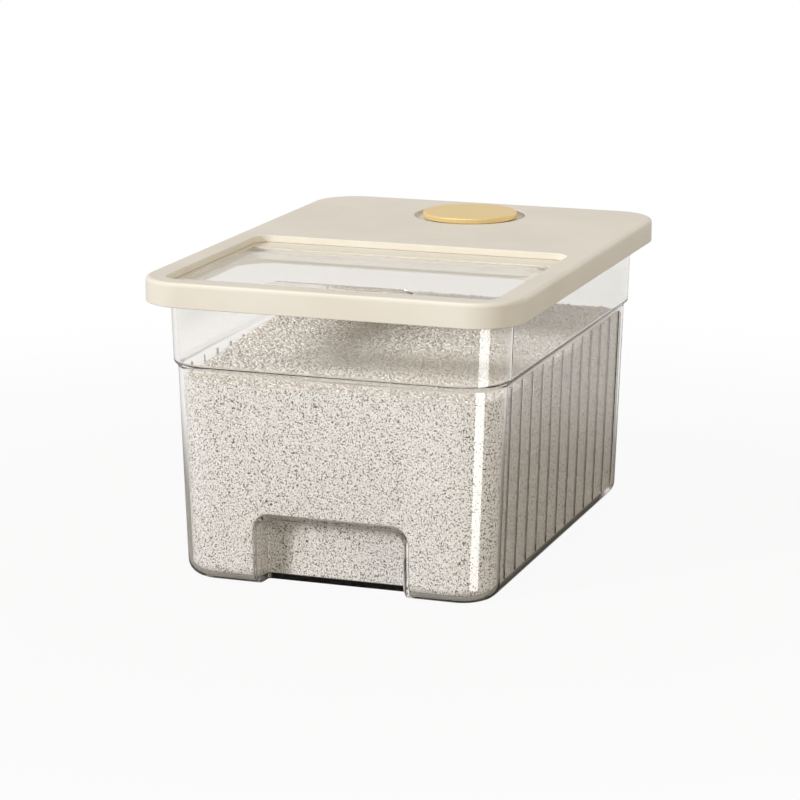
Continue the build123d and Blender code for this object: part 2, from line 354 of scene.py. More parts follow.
def soften(piece: Piece, width: float, segments: int = 3) -> None:
    """Rounds every sharp edge a little, as a mould does.

    Args:
        piece: The object to soften.
        width: How far from an edge the rounding starts.
        segments: How many faces each rounding has.
    """
    clean(piece)
    modifier = piece.modifiers.new("soft edges", "BEVEL")
    modifier.width = width
    modifier.segments = segments
    modifier.limit_method = "ANGLE"
    modifier.angle_limit = SHARP_ANGLE
    modifier.use_clamp_overlap = True
    take(piece)
    bpy.ops.object.modifier_apply(modifier=modifier.name)


def smooth(piece: Piece, weighted: bool = True) -> None:
    """Shades a piece smooth, with its flat faces left flat.

    Args:
        piece: The object to shade.
        weighted: Whether large faces pull the normals of the small ones beside them.
    """
    take(piece)
    bpy.ops.object.shade_smooth_by_angle(angle=SHARP_ANGLE)
    if weighted:
        modifier = piece.modifiers.new("flat faces", "WEIGHTED_NORMAL")
        modifier.keep_sharp = True
        bpy.ops.object.modifier_apply(modifier=modifier.name)


class Wire:
    """A shader socket that takes part in arithmetic."""

    def __init__(self, graph: "Graph", socket: bpy.types.NodeSocket) -> None:
        """Keeps the socket and the graph that new nodes go into."""
        self.graph = graph
        self.socket = socket

    def reckon(self, operation: str, *values: "Wire | float") -> "Wire":
        """Adds a Math node.

        Args:
            operation: The Math node's operation.
            values: What goes into its inputs, in order.

        Returns:
            The node's result.
        """
        return self.graph.add("ShaderNodeMath", {"operation": operation}, dict(enumerate(values)))

    def __add__(self, other: "Wire | float") -> "Wire":
        """This plus another value."""
        return self.reckon("ADD", self, other)

    def __radd__(self, other: float) -> "Wire":
        """A number plus this."""
        return self.reckon("ADD", other, self)

    def __sub__(self, other: "Wire | float") -> "Wire":
        """This less another value."""
        return self.reckon("SUBTRACT", self, other)

    def __rsub__(self, other: float) -> "Wire":
        """A number less this."""
        return self.reckon("SUBTRACT", other, self)

    def __mul__(self, other: "Wire | float") -> "Wire":
        """This times another value."""
        return self.reckon("MULTIPLY", self, other)

    def __rmul__(self, other: float) -> "Wire":
        """A number times this."""
        return self.reckon("MULTIPLY", other, self)

    def within(self, low: float, high: float) -> "Wire":
        """A smooth rise from 0 at the low value to 1 at the high one."""
        feeds = {"Value": self, "From Min": low, "From Max": high}
        return self.graph.add("ShaderNodeMapRange", {"interpolation_type": "SMOOTHSTEP"}, feeds)

    def larger(self, other: "Wire | float") -> "Wire":
        """The larger of this and another value."""
        return self.reckon("MAXIMUM", self, other)

    def size(self) -> "Wire":
        """This without its sign."""
        return self.reckon("ABSOLUTE", self)

    def beside(self, out: str) -> "Wire":
        """Another output of the node that this comes from."""
        return Wire(self.graph, self.socket.node.outputs[out])


Feed = Wire | float | Sequence[float]


class Graph:
    """A node tree that is written as expressions."""

    def __init__(self, tree: bpy.types.NodeTree) -> None:
        """Starts from an empty tree."""
        self.tree = tree
        tree.nodes.clear()

    def add(
        self, kind: str, settings: dict | None = None, feeds: dict | None = None, out: int | str = 0
    ) -> Wire:
        """Adds any node.

        Args:
            kind: The node's type.
            settings: Properties of the node, which are set first.
            feeds: Values or wires for its sockets, by name or number.
            out: Which output is handed back, by name or number.

        Returns:
            The chosen output.
        """
        node = self.tree.nodes.new(kind)
        for key, value in (settings or {}).items():
            setattr(node, key, value)
        for key, value in (feeds or {}).items():
            if isinstance(value, Wire):
                self.tree.links.new(value.socket, node.inputs[key])
            else:
                node.inputs[key].default_value = value
        return Wire(self, node.outputs[out])

    def place(self) -> Wire:
        """Object coordinates, in metres."""
        return self.add("ShaderNodeTexCoord", out="Object")

    def noise(self, scale: float, detail: float = 2.0, place: Wire | None = None) -> Wire:
        """Soft noise from 0 to 1.

        Args:
            scale: Waves to the metre.
            detail: How much finer noise is laid over it.
            place: The coordinates that it is read at, or None for the object's own.

        Returns:
            The noise's value.
        """
        feeds = {"Vector": place or self.place(), "Scale": scale, "Detail": detail}
        return self.add("ShaderNodeTexNoise", None, feeds)

    def blend(self, share: Feed, first: Feed, second: Feed) -> Wire:
        """A colour between two colours.

        Args:
            share: How much of the second colour there is.
            first: The colour at a share of 0.
            second: The colour at a share of 1.

        Returns:
            The mixed colour.
        """
        return self.add("ShaderNodeMix", {"data_type": "RGBA"}, {0: share, 6: first, 7: second}, out=2)

    def vector(self, operation: str, *values: Feed, out: int | str = 0) -> Wire:
        """Adds a Vector Math node.

        Args:
            operation: The node's operation.
            values: What goes into its inputs, in order.
            out: Which output is handed back, by name or number.

        Returns:
            The chosen output.
        """
        return self.add("ShaderNodeVectorMath", {"operation": operation}, dict(enumerate(values)), out)

    def rays(self) -> tuple[Wire, Wire, Wire]:
        """Tells how a ray came to where it is.

        Returns:
            Whether it came straight from the camera, through something clear, or off something glossy.
        """
        straight = self.add("ShaderNodeLightPath", out="Is Camera Ray")
        through = straight.beside("Is Transmission Ray")
        return straight, through, straight.beside("Is Glossy Ray") * (1.0 - through)

    def bump(self, height: Wire, distance: float, strength: float) -> Wire:
        """A normal that follows a height.

        Args:
            height: The height, from 0 to 1.
            distance: The depth in metres between the two.
            strength: How much of it shows.

        Returns:
            The normal.
        """
        feeds = {"Height": height, "Distance": distance, "Strength": strength}
        return self.add("ShaderNodeBump", None, feeds, "Normal")

    def surface(self, shader: Wire) -> None:
        """Makes a shader the material's surface."""
        output = self.tree.nodes.new("ShaderNodeOutputMaterial")
        self.tree.links.new(shader.socket, output.inputs["Surface"])


def rgb(red: float, green: float, blue: float) -> Colour:
    """A linear colour from the 0 to 255 values that a screen shows.

    Args:
        red: The red value.
        green: The green value.
        blue: The blue value.

    Returns:
        The colour as a shader takes it, with an alpha of 1.
    """
    shares = [value / 255 for value in (red, green, blue)]
    linear = [((share + 0.055) / 1.055) ** 2.4 if share > 0.04045 else share / 12.92 for share in shares]
    return (*linear, 1.0)


class Finish(ABC):
    """A procedural material that reads object coordinates."""

    name: str

    @abstractmethod
    def sockets(self, graph: Graph) -> dict[str, Feed]:
        """What feeds the shader, which each finish gives."""

    def shader(self, graph: Graph) -> Wire:
        """The shader, with its sockets fed."""
        return graph.add("ShaderNodeBsdfPrincipled", None, self.sockets(graph))

    def make(self) -> bpy.types.Material:
        """Builds the material.

        Returns:
            The material, with the finish's shader as its surface.
        """
        material = bpy.data.materials.new(self.name)
        material.use_nodes = True
        graph = Graph(material.node_tree)
        graph.surface(self.shader(graph))
        return material


@dataclass(frozen=True)
class GrooveLines:
    """Where the tank's upright grooves lie, for the painted shade that darkens them."""

    pitch: float
    width: float
    wall: float
    reach: float
    low: float
    high: float
    core: float = 0.3
    fade: float = mm(1.0)

    def mask(self, graph: Graph) -> Wire:
        """Builds the mask of the painted shade, which is 1 in the grooves and 0 elsewhere.

        Args:
            graph: The material's node tree.

        Returns:
            The value.
        """
        x = graph.add("ShaderNodeSeparateXYZ", None, {0: graph.place()})
        y, z = x.beside("Y"), x.beside("Z")
        turn = y.reckon("FRACT", y * (1 / self.pitch))
        beside = (turn - 0.5).size() * self.pitch
        line = 1.0 - beside.within(self.core * self.width, self.width / 2)
        side = x.size().within(self.wall - self.fade / 2, self.wall)
        along = 1.0 - y.size().within(self.reach, self.reach + self.fade)
        above = z.within(self.low, self.low + self.fade)
        below = 1.0 - z.within(self.high - self.fade, self.high)
        return line * side * along * above * below


@dataclass(frozen=True)
class ClearPlastic(Finish):
    """Clear moulded plastic, faintly warm, with fine handling marks."""

    name: str
    grooves: GrooveLines | None = None
    # Painted shade: the dark tint laid along the grooves.
    groove_painted_shade: Colour = rgb(86, 77, 70)
    tint: Colour = rgb(252, 251, 249)
    light_tint: Colour = rgb(252, 252, 251)
    refraction: float = 1.46
    roughness: float = 0.008
    mark_scale: float = 900.0
    mark_edges: Span = (0.62, 0.8)
    mark_roughness: float = 0.03

    def sockets(self, graph: Graph) -> dict[str, Feed]:
        """Feeds the glass.

        Args:
            graph: The material's node tree.

        Returns:
            A tint darkened by painted shade along the grooves, and a polish that the marks dull.
        """
        marks = graph.noise(self.mark_scale, RICH_DETAIL).within(*self.mark_edges)
        tint: Feed = self.tint
        if self.grooves:
            # Painted shade: the glass's tint darkens along the grooves, standing in for their dark lines.
            tint = graph.blend(self.grooves.mask(graph), self.tint, self.groove_painted_shade)
        return {
            "Base Color": tint,
            "Roughness": self.roughness + self.mark_roughness * marks,
            "IOR": self.refraction,
            "Transmission Weight": 1.0,
        }

    def shader(self, graph: Graph) -> Wire:
        """Lets light through on its way to the rice.

        Args:
            graph: The material's node tree.

        Returns:
            Glass for what is seen, and a clear tint for shadow and diffuse rays.
        """
        glass = super().shader(graph)
        clear = graph.add("ShaderNodeBsdfTransparent", None, {"Color": self.light_tint})
        shadow = graph.add("ShaderNodeLightPath", out="Is Shadow Ray")
        diffuse = graph.add("ShaderNodeLightPath", out="Is Diffuse Ray")
        feeds = {0: shadow.larger(diffuse), 1: glass, 2: clear}
        return graph.add("ShaderNodeMixShader", None, feeds)


@dataclass(frozen=True)
class MouldedPlastic(Finish):
    """Opaque moulded plastic with a fine satin grain and a faint flow pattern."""

    name: str
    colour: Colour
    shade: Colour
    flow_scale: float = 14.0
    flow_roughness: float = 0.05
    grain_scale: float = 2600.0
    grain_depth: float = mm(0.012)
    grain_strength: float = 0.5
    grain_roughness: float = 0.08
    roughness: float = 0.34
    gloss: float = 0.12
    gloss_roughness: float = 0.08

    def sockets(self, graph: Graph) -> dict[str, Feed]:
        """Feeds the plastic.

        Args:
            graph: The material's node tree.

        Returns:
            A colour that follows the flow, and a satin surface under a thin gloss.
        """
        flow = graph.noise(self.flow_scale, RICH_DETAIL)
        fine = graph.noise(self.grain_scale)
        rough = self.roughness + self.grain_roughness * (fine - 0.5)
        return {
            "Base Color": graph.blend(flow.within(*NOISE_MIDDLE), self.colour, self.shade),
            "Roughness": rough + self.flow_roughness * (flow - 0.5),
            "Normal": graph.bump(fine, self.grain_depth, self.grain_strength),
            "Coat Weight": self.gloss,
            "Coat Roughness": self.gloss_roughness,
        }


@dataclass(frozen=True)
class SatinGold(Finish):
    """Gold-toned metal with a spun face."""

    name: str
    centre: Vector
    colour: Colour = rgb(254, 228, 165)
    shade: Colour = rgb(247, 216, 150)
    metal: float = 0.48
    roughness: float = 0.3
    ring_pitch: float = mm(0.55)
    ring_depth: float = mm(0.01)
    ring_strength: float = 0.4
    ring_share: float = 0.55
    ring_roughness: float = 0.12
    cloud_scale: float = 60.0
    cloud_share: float = 0.35

    def sockets(self, graph: Graph) -> dict[str, Feed]:
        """Feeds the metal.

        Args:
            graph: The material's node tree.

        Returns:
            A colour, polish and normal with fine rings about the centre.
        """
        across = graph.vector("SUBTRACT", graph.place(), (self.centre.x, self.centre.y, 0.0))
        flat = graph.vector("MULTIPLY", across, (1.0, 1.0, 0.0))
        turns = graph.vector("LENGTH", flat, out="Value") * (1 / self.ring_pitch)
        feeds = {"W": turns, "Scale": 1.0, "Detail": RICH_DETAIL}
        rings = graph.add("ShaderNodeTexNoise", {"noise_dimensions": "1D"}, feeds)
        cloud = graph.noise(self.cloud_scale, RICH_DETAIL)
        share = self.ring_share * rings + self.cloud_share * cloud
        return {
            "Base Color": graph.blend(share, self.colour, self.shade),
            "Metallic": self.metal,
            "Roughness": self.roughness + self.ring_roughness * rings,
            "Normal": graph.bump(rings, self.ring_depth, self.ring_strength),
        }


@dataclass(frozen=True)
class SoftSilicone(Finish):
    """Milky soft silicone."""

    name: str
    colour: Colour = rgb(226, 223, 214)
    shade: Colour = rgb(211, 207, 197)
    cloud_scale: float = 120.0
    cloud_roughness: float = 0.15
    roughness: float = 0.42
    sheen: float = 0.15

    def sockets(self, graph: Graph) -> dict[str, Feed]:
        """Feeds the silicone.

        Args:
            graph: The material's node tree.

        Returns:
            A soft, faintly cloudy surface.
        """
        cloud = graph.noise(self.cloud_scale, RICH_DETAIL)
        return {
            "Base Color": graph.blend(cloud.within(*NOISE_MIDDLE), self.colour, self.shade),
            "Roughness": self.roughness + self.cloud_roughness * cloud,
            "Sheen Weight": self.sheen,
        }


@dataclass(frozen=True)
class PlainSteel(Finish):
    """Turned stainless steel."""

    name: str
    colour: Colour = rgb(196, 196, 198)
    shade: Colour = rgb(158, 158, 161)
    mark_scale: float = 3000.0
    mark_roughness: float = 0.15
    roughness: float = 0.22

    def sockets(self, graph: Graph) -> dict[str, Feed]:
        """Feeds the steel.

        Args:
            graph: The material's node tree.

        Returns:
            Metal with fine lathe marks.
        """
        marks = graph.noise(self.mark_scale)
        return {
            "Base Color": graph.blend(marks, self.colour, self.shade),
            "Metallic": 1.0,
            "Roughness": self.roughness + self.mark_roughness * marks,
        }


@dataclass(frozen=True)
class PackedRice(Finish):
    """Rice pressed against a wall: pale long grains, lying all ways, with painted shade in the small spaces
    between them.
    """

    name: str
    grain: Colour = rgb(252, 250, 247)
    warm: Colour = rgb(241, 233, 226)
    # Painted shade: the dark colour between the grains.
    gap: Colour = rgb(50, 40, 36)
    length: float = mm(1.45)
    width: float = mm(0.75)
    turns: tuple[float, ...] = (0.3, 1.2, 2.3)
    slant: Triple = (1.0, 0.7, 1.3)
    tone_edges: Span = (0.2, 0.9)
    gap_shade_edges: Span = (0.58, 0.74)
    gap_roughness: float = 0.2
    upward_edges: Span = (0.6, 0.9)
    patch_scale: float = 375.0
    patch_start: float = 0.38
    patch_step: float = 0.08
    patch_fade: float = 0.02
    depth_share: float = 0.72
    top_share: float = 0.35
    roughness: float = 0.55
    relief: float = mm(0.3)
    relief_strength: float = 0.4

    def cells(self, graph: Graph, place: Wire, turn: float) -> Wire:
        """Lays long cells at one slant.

        Args:
            graph: The material's node tree.
            place: The coordinates that they are read at.
            turn: How far they are turned.

        Returns:
            How far each point is from its cell's middle.
        """
        feeds = {
            "Vector": place,
            "Rotation": [turn * share for share in self.slant],
            "Scale": (self.length, self.width, self.width),
        }
        turned = graph.add("ShaderNodeMapping", {"vector_type": "TEXTURE"}, feeds)
        return graph.add("ShaderNodeTexVoronoi", {"feature": "F1"}, {"Vector": turned, "Scale": 1.0})

    def sockets(self, graph: Graph) -> dict[str, Feed]:
        """Feeds the rice.

        Args:
            graph: The material's node tree.

        Returns:
            Cells of two pale tones, parted by painted shade between the grains, which is fainter on the rice's
            top.
        """
        place = graph.vector("MULTIPLY", graph.place(), (1.0, self.depth_share, 1.0))
        patches = graph.noise(self.patch_scale, place=place)
        far = self.cells(graph, place, self.turns[0])
        tone = far.beside("Color")
        for index, turn in enumerate(self.turns[1:], 1):
            cells = self.cells(graph, place, turn)
            start = self.patch_start + self.patch_step * index
            share = patches.within(start, start + self.patch_fade)
            far = far + share * (cells - far)
            tone = graph.blend(share, tone, cells.beside("Color"))
        shade = graph.add("ShaderNodeSeparateColor", None, {0: tone})
        normal = graph.add("ShaderNodeTexCoord", out="Normal")
        upward = graph.add("ShaderNodeSeparateXYZ", None, {0: normal}, "Z").within(*self.upward_edges)
        # Painted shade between the grains, kept fainter on faces that look up.
        gap_shade = far.within(*self.gap_shade_edges) * (1.0 - (1.0 - self.top_share) * upward)
        body = graph.blend(shade.within(*self.tone_edges), self.grain, self.warm)
        return {
            "Base Color": graph.blend(gap_shade, body, self.gap),
            "Roughness": self.roughness + self.gap_roughness * gap_shade,
            "Normal": graph.bump(1.0 - far, self.relief, self.relief_strength),
        }


@dataclass(frozen=True)
class RiceGrain(Finish):
    """One polished grain, a little different from the next."""

    name: str
    pale: Colour = rgb(251, 248, 244)
    warm: Colour = rgb(233, 226, 218)
    chalk_scale: float = 420.0
    chalk_share: float = 0.25
    chalk_roughness: float = 0.2
    roughness: float = 0.42

    def sockets(self, graph: Graph) -> dict[str, Feed]:
        """Feeds the grain.

        Args:
            graph: The material's node tree.

        Returns:
            A waxy surface whose colour follows each grain's own tone.
        """
        tone = graph.add("ShaderNodeAttribute", {"attribute_name": GRAIN_TONE}, None, "Fac")
        chalk = graph.noise(self.chalk_scale)
        share = (1.0 - self.chalk_share) * tone + self.chalk_share * chalk
        return {
            "Base Color": graph.blend(share, self.pale, self.warm),
            "Roughness": self.roughness + self.chalk_roughness * chalk,
        }


@dataclass
class Tank:
    """The clear bin with its step, its grooves and its two hand grips."""

    base: Plan = Plan(mm(113.0), mm(168.5), mm(26.0))
    draft: float = math.tan(math.radians(2.0))
    wall: float = mm(3.0)
    floor: float = mm(3.5)
    step_height: float = mm(150.5)
    step_ledge: float = mm(2.8)
    step_rise: float = mm(5.0)
    step_lift: float = mm(1.0)
    base_round: float = mm(11.0)
    floor_round: float = mm(8.0)
    rim_thickness: float = mm(3.0)
    groove_count: int = 12
    groove_pitch: float = mm(24.2)
    groove_width: float = mm(2.6)
    groove_depth: float = mm(1.1)
    groove_bottom: float = mm(11.5)
    groove_top_gap: float = mm(3.5)
    grip_half: float = mm(53.0)
    grip_height: float = mm(48.0)
    grip_depth: float = mm(21.0)
    grip_corner: float = mm(9.0)
    grip_fillet: float = mm(2.4)
    grip_below: float = mm(10.0)
    mouth_round: float = mm(4.6)
    mouth_bend: float = 0.5
    collar: float = mm(0.5)
    edge: float = mm(0.7)

    def growth(self, height: float) -> float:
        """How far the outer wall stands out from the base outline at a height above the step."""
        return height * self.draft + self.step_ledge

    def shoulder(self, top: float, bottom: float, lift: float) -> Steps:
        """Steps down a drafted wall, past the soft step in it.

        Args:
            top: The height that they start from.
            bottom: The height that they end at.
            lift: How far the step is raised, as it is on the inside of the wall.

        Returns:
            One inset and one rise for each step.
        """
        high = self.step_height + lift + self.step_rise / 2
        low = high - self.step_rise
        steps = [((top - high) * self.draft, top - high)]
        steps += swell(self.step_ledge + self.step_rise * self.draft, self.step_rise)
        steps.append(((low - bottom) * self.draft, low - bottom))
        return steps

    def grips(self, grow: float) -> Piece:
        """Makes both hand grips as one tool.

        Args:
            grow: How much larger than the real grips the tool is, all round.

        Returns:
            The tool.
        """
        tools = []
        for side in (-1, 1):
            back = self.base.half_y - self.grip_depth - grow
            front = self.base.half_y + self.grip_depth
            ends = sorted((side * back, side * front))
            low = Vector((-self.grip_half - grow, ends[0], -self.grip_below))
            high = Vector((self.grip_half + grow, ends[1], self.grip_height + grow))
            tool = block("grip", low, high)
            top = high.z - NEAR
            deep = side * back
            with editing(tool):
                pick_edges(tool, lambda a, b: min(a.z, b.z) > top and abs(a.y - b.y) > self.grip_depth)
                bpy.ops.mesh.bevel(
                    offset=self.grip_corner + grow,
                    segments=CORNER_SEGMENTS,
                    affect="EDGES",
                    clamp_overlap=False,
                )
                pick_edges(
                    tool,
                    lambda a, b: max(abs(a.y - deep), abs(b.y - deep)) < NEAR and max(a.z, b.z) > 0,
                )
                bpy.ops.mesh.bevel(
                    offset=self.grip_fillet, segments=FILLET_SEGMENTS, affect="EDGES", clamp_overlap=False
                )
            tools.append(tool)
        return merge("grips", tools)

    def groove_lines(self) -> GrooveLines:
        """Finds the grooves for the finish that paints shade along them.

        Returns:
            Where they lie on the side walls.
        """
        return GrooveLines(
            pitch=self.groove_pitch,
            width=self.groove_width,
            wall=self.base.half_x - self.wall,
            reach=self.groove_count * self.groove_pitch / 2,
            low=self.groove_bottom,
            high=self.step_height - self.groove_top_gap,
        )

    def round_mouths(self, piece: Piece, grow: float, radius: float) -> None:
        """Rounds the edges where the hand grips come out through the walls.

        Args:
            piece: The tank, or the solid of its inside.
            grow: How much larger than the real grips its grips are.
            radius: The rounding's size.
        """
        half = self.grip_half + grow + NEAR
        top = self.grip_height + grow + NEAR
        near = self.base.half_y - grow - self.base_round - MARGIN

        def at_mouth(edge: bmesh.types.BMEdge) -> bool:
            """Tells the sharp edges at a grip's mouth from the others.

            Args:
                edge: An edge of the piece.

            Returns:
                Whether it is one of them.
            """
            middle = (edge.verts[0].co + edge.verts[1].co) / 2
            inside = abs(middle.x) < half and middle.z < top and abs(middle.y) > near
            sides = [face.normal for face in edge.link_faces]
            return inside and len(sides) == 2 and sides[0].dot(sides[1]) < self.mouth_bend

        clean(piece)
        with editing(piece):
            pick(piece, Element.EDGE, at_mouth)
            bpy.ops.mesh.bevel(offset=radius, segments=FILLET_SEGMENTS, affect="EDGES", clamp_overlap=True)

    def hollow(self, top: float, gap: float) -> Piece:
        """Makes the inside of the tank as a solid.

        Args:
            top: The height that it reaches.
            gap: How far it stays clear of the walls and the floor.

        Returns:
            The solid, with the backs of the hand grips standing into it.
        """
        wall = self.wall + gap
        low = self.floor + gap
        turn = low + self.floor_round
        start = self.base.offset(self.growth(top) - wall)
        steps = self.shoulder(top, turn, self.step_lift) + quarter_round(self.floor_round)
        steps[0] = (steps[0][0], steps[0][1] - self.collar)
        inside = stack("inside", start, top, self.collar, steps, Facing.DOWN)
        combine(inside, self.grips(wall), Joining.CUT)
        self.round_mouths(inside, wall, self.mouth_round)
        return inside

    def grooves(self) -> Piece:
        """Makes the upright grooves of both side walls.

        Returns:
            One tool of thin square bars.
        """
        length = self.step_height - self.groove_top_gap - self.groove_bottom
        middle = self.groove_bottom + length / 2
        lean = math.atan(self.draft)
        face = self.base.half_x + middle * self.draft
        bars = []
        for side in (-1, 1):
            for index in range(self.groove_count):
                bpy.ops.mesh.primitive_cube_add(size=1.0)
                bar = bpy.context.object
                settle(bar, Vector(), Vector((1.0, 1.0, 1.0)), Vector((0.0, 0.0, math.pi / 4)))
                depth = (index - (self.groove_count - 1) / 2) * self.groove_pitch
                place = Vector((side * face, depth, middle))
                across = math.sqrt(2) * self.groove_depth
                along = math.sqrt(2) * self.groove_width / 2
                settle(bar, place, Vector((across, along, length)), Vector((0.0, side * lean, 0.0)))
                bars.append(bar)
        return merge("grooves", bars)

    def build(self) -> Piece:
        """Models the clear shell.

        Returns:
            The tank's own piece.
        """
        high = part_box("tank")[1]
        rim = Plan(high.x, high.y, 0.0)
        under = high.z - self.rim_thickness
        upper = self.base.offset(self.growth(under))
        overhang = rim.half_x - upper.half_x
        steps = [(overhang, 0.0)] + self.shoulder(under, self.base_round, 0.0)
        steps += quarter_round(self.base_round)
        start = upper.offset(overhang)
        shell = stack("tank_shell", start, high.z, self.rim_thickness, steps, Facing.DOWN)
        combine(shell, self.hollow(high.z + MARGIN, 0.0), Joining.CUT)
        combine(shell, self.grips(0.0), Joining.CUT)
        self.round_mouths(shell, 0.0, self.mouth_round)
        soften(shell, self.edge)
        combine(shell, self.grooves(), Joining.CUT)
        clean(shell)
        smooth(shell)
        return shell


@dataclass
class RiceFill:
    """The rice in the tank: a pressed body, and loose grains over its top."""

    tank: Tank
    level: float = mm(141.0)
    mound: float = mm(7.0)
    mound_x: float = mm(-112.0)
    mound_y: float = mm(28.0)
    mound_reach: float = mm(165.0)
    clearance: float = mm(0.4)
    fill_top: float = mm(175.0)
    cut_pitch: float = mm(22.0)
    grain_length: float = mm(4.6)
    grain_width: float = mm(2.1)
    grain_flatness: float = 0.85
    grain_sides: int = 5
    grain_rings: int = 3
    spacing: float = mm(2.85)
    scatter: float = 0.4
    tilt: float = 0.22
    lowest: float = mm(-0.2)
    highest: float = mm(0.8)
    edge_gap: float = mm(3.0)
    corner_share: float = 0.8
    seed: int = 7

    def height(self, x: float, y: float) -> float:
        """The height of the rice at a place, heaped a little against the left wall."""
        away = min(1.0, math.hypot(x - self.mound_x, y - self.mound_y) / self.mound_reach)
        return self.level + self.mound * (1 + math.cos(math.pi * away)) / 2

    def body(self) -> Piece:
        """Models the pressed body.

        Returns:
            A solid that fills the tank up to the rice's uneven top.
        """
        pile = self.tank.hollow(self.fill_top, self.clearance)
        pile.name = "rice_pile"
        with editing(pile):
            top = Vector((0.0, 0.0, self.level))
            bpy.ops.mesh.bisect(plane_co=top, plane_no=top.normalized(), use_fill=True, clear_outer=True)
            across = (Vector((1.0, 0.0, 0.0)), Vector((0.0, 1.0, 0.0)))
            for way, reach in zip(across, (self.tank.base.half_x, self.tank.base.half_y)):
                count = int(reach / self.cut_pitch)
                for index in range(-count, count + 1):
                    bpy.ops.mesh.select_all(action="SELECT")
                    bpy.ops.mesh.bisect(plane_co=index * self.cut_pitch * way, plane_no=way)
            form = bmesh.from_edit_mesh(pile.data)
            for point in form.verts:
                x, y, z = point.co
                if abs(z - self.level) < NEAR / 2:
                    point.co.z = self.height(x, y)
            bmesh.update_edit_mesh(pile.data)
        clean(pile)
        smooth(pile, weighted=False)
        return pile

    def grain(self) -> tuple[np.ndarray, list[tuple[int, ...]]]:
        """Models one grain.

        Returns:
            Its points, as an array, and its faces.
        """
        bpy.ops.mesh.primitive_uv_sphere_add(
            segments=self.grain_sides, ring_count=self.grain_rings, radius=0.5
        )
        grain = bpy.context.object
        size = Vector((self.grain_width, self.grain_width * self.grain_flatness, self.grain_length))
        settle(grain, Vector(), size, Vector((0.0, math.pi / 2, 0.0)))
        points = np.array([point.co for point in grain.data.vertices])
        faces = [tuple(face.vertices) for face in grain.data.polygons]
        bpy.data.objects.remove(grain, do_unlink=True)
        return points, faces

    def grains(self) -> Piece:
        """Scatters grains over the top.

        Returns:
            One piece that holds all the grains.
        """
        points, faces = self.grain()
        dice = random.Random(self.seed)
        tank = self.tank
        edge = tank.base.offset(tank.growth(self.level) - tank.step_ledge - tank.wall)
        reach_x = edge.half_x - self.edge_gap
        reach_y = edge.half_y - self.edge_gap
        inset = edge.corner * self.corner_share
        all_points, all_faces, tones = [], [], []
        for row in range(int(2 * reach_y / self.spacing) + 1):
            for column in range(int(2 * reach_x / self.spacing) + 1):
                x = -reach_x + (column + dice.uniform(-self.scatter, self.scatter)) * self.spacing
                y = -reach_y + (row + dice.uniform(-self.scatter, self.scatter)) * self.spacing
                turn = Matrix.Rotation(dice.uniform(0.0, math.tau), 3, "Z")
                tip = Matrix.Rotation(dice.gauss(0.0, self.tilt), 3, "Y")
                rise = dice.uniform(self.lowest, self.highest)
                tone = dice.random()
                if math.hypot(max(0, abs(x) - reach_x + inset), max(0, abs(y) - reach_y + inset)) > inset:
                    continue
                place = Vector((x, y, self.height(x, y) + rise))
                start = len(all_points) * len(points)
                all_points.append(points @ np.array(turn @ tip).T + np.array(place))
                all_faces.extend(tuple(start + corner for corner in face) for face in faces)
                tones.extend([tone] * len(points))
        mesh = bpy.data.meshes.new("rice_grains")
        mesh.from_pydata(np.concatenate(all_points).tolist(), [], all_faces)
        mesh.attributes.new(GRAIN_TONE, "FLOAT", "POINT").data.foreach_set("value", tones)
        piece = bpy.data.objects.new("rice_grains", mesh)
        bpy.context.scene.collection.objects.link(piece)
        take(piece)
        bpy.ops.object.shade_smooth()
        return piece


@dataclass
class Window:
    """The opening in the lid's front half."""

    front_rail: float = mm(14.8)
    depth: float = mm(176.7)
    half_width: float = mm(118.293)
    corner: float = mm(12.0)
    wall: float = mm(2.2)

    def plan(self, lid_front: float) -> Plan:
        """The window's outline.

        Args:
            lid_front: The place in depth of the lid's front face.

        Returns:
            The outline, placed behind the front rail.
        """
        middle = lid_front + self.front_rail + self.depth / 2
        return Plan(self.half_width, self.depth / 2, self.corner, middle)


@dataclass
class LidCover:
    """The cream top of the lid, with its skirt, window and round well."""

    window: Window
    corner: float = mm(34.0)
    top_round: float = mm(3.0)
    wall: float = mm(2.4)
    window_drop: float = mm(5.1)
    well_radius: float = mm(42.0)
    well_drop: float = mm(2.3)
    well_floor: float = mm(1.5)
    cup_bore: float = mm(31.3)
    edge: float = mm(0.8)

    def build(self) -> Piece:
        """Models the cover.

        Returns:
            The lid's top piece.
        """
        low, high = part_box("lid_cover")
        outline = Plan(high.x, high.y, self.corner)
        rise = high.z - low.z - self.top_round
        cover = stack("lid_top", outline, low.z, rise, quarter_round(self.top_round))
        deck_under = high.z - self.wall
        plan = self.window.plan(low.y)
        ledge = high.z - self.window_drop
        cap_low, cap_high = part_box("cap_plate")
        well = Vector((0.0, (cap_low.y + cap_high.y) / 2, high.z - self.well_drop))
        well_under = well.z - self.well_floor
        inside = stack("inside", outline.offset(-self.wall), low.z - MARGIN, deck_under - low.z + MARGIN)
        shaft = stack("shaft", plan.offset(self.window.wall), ledge, deck_under + MARGIN - ledge)
        combine(inside, shaft, Joining.CUT)
        under = Vector((0.0, well.y, well_under))
        combine(inside, drum("well", self.well_radius + self.window.wall, under, 4 * MARGIN), Joining.CUT)
        combine(cover, inside, Joining.CUT)
        combine(cover, stack("hole", plan, low.z - MARGIN, high.z - low.z + 2 * MARGIN), Joining.CUT)
        combine(cover, drum("well", self.well_radius, well, self.well_drop + MARGIN), Joining.CUT)
        bore = Vector((0.0, well.y, well_under - MARGIN))
        combine(cover, drum("bore", self.cup_bore, bore, 5 * MARGIN), Joining.CUT)
        soften(cover, self.edge)
        clean(cover)
        smooth(cover)
        return cover


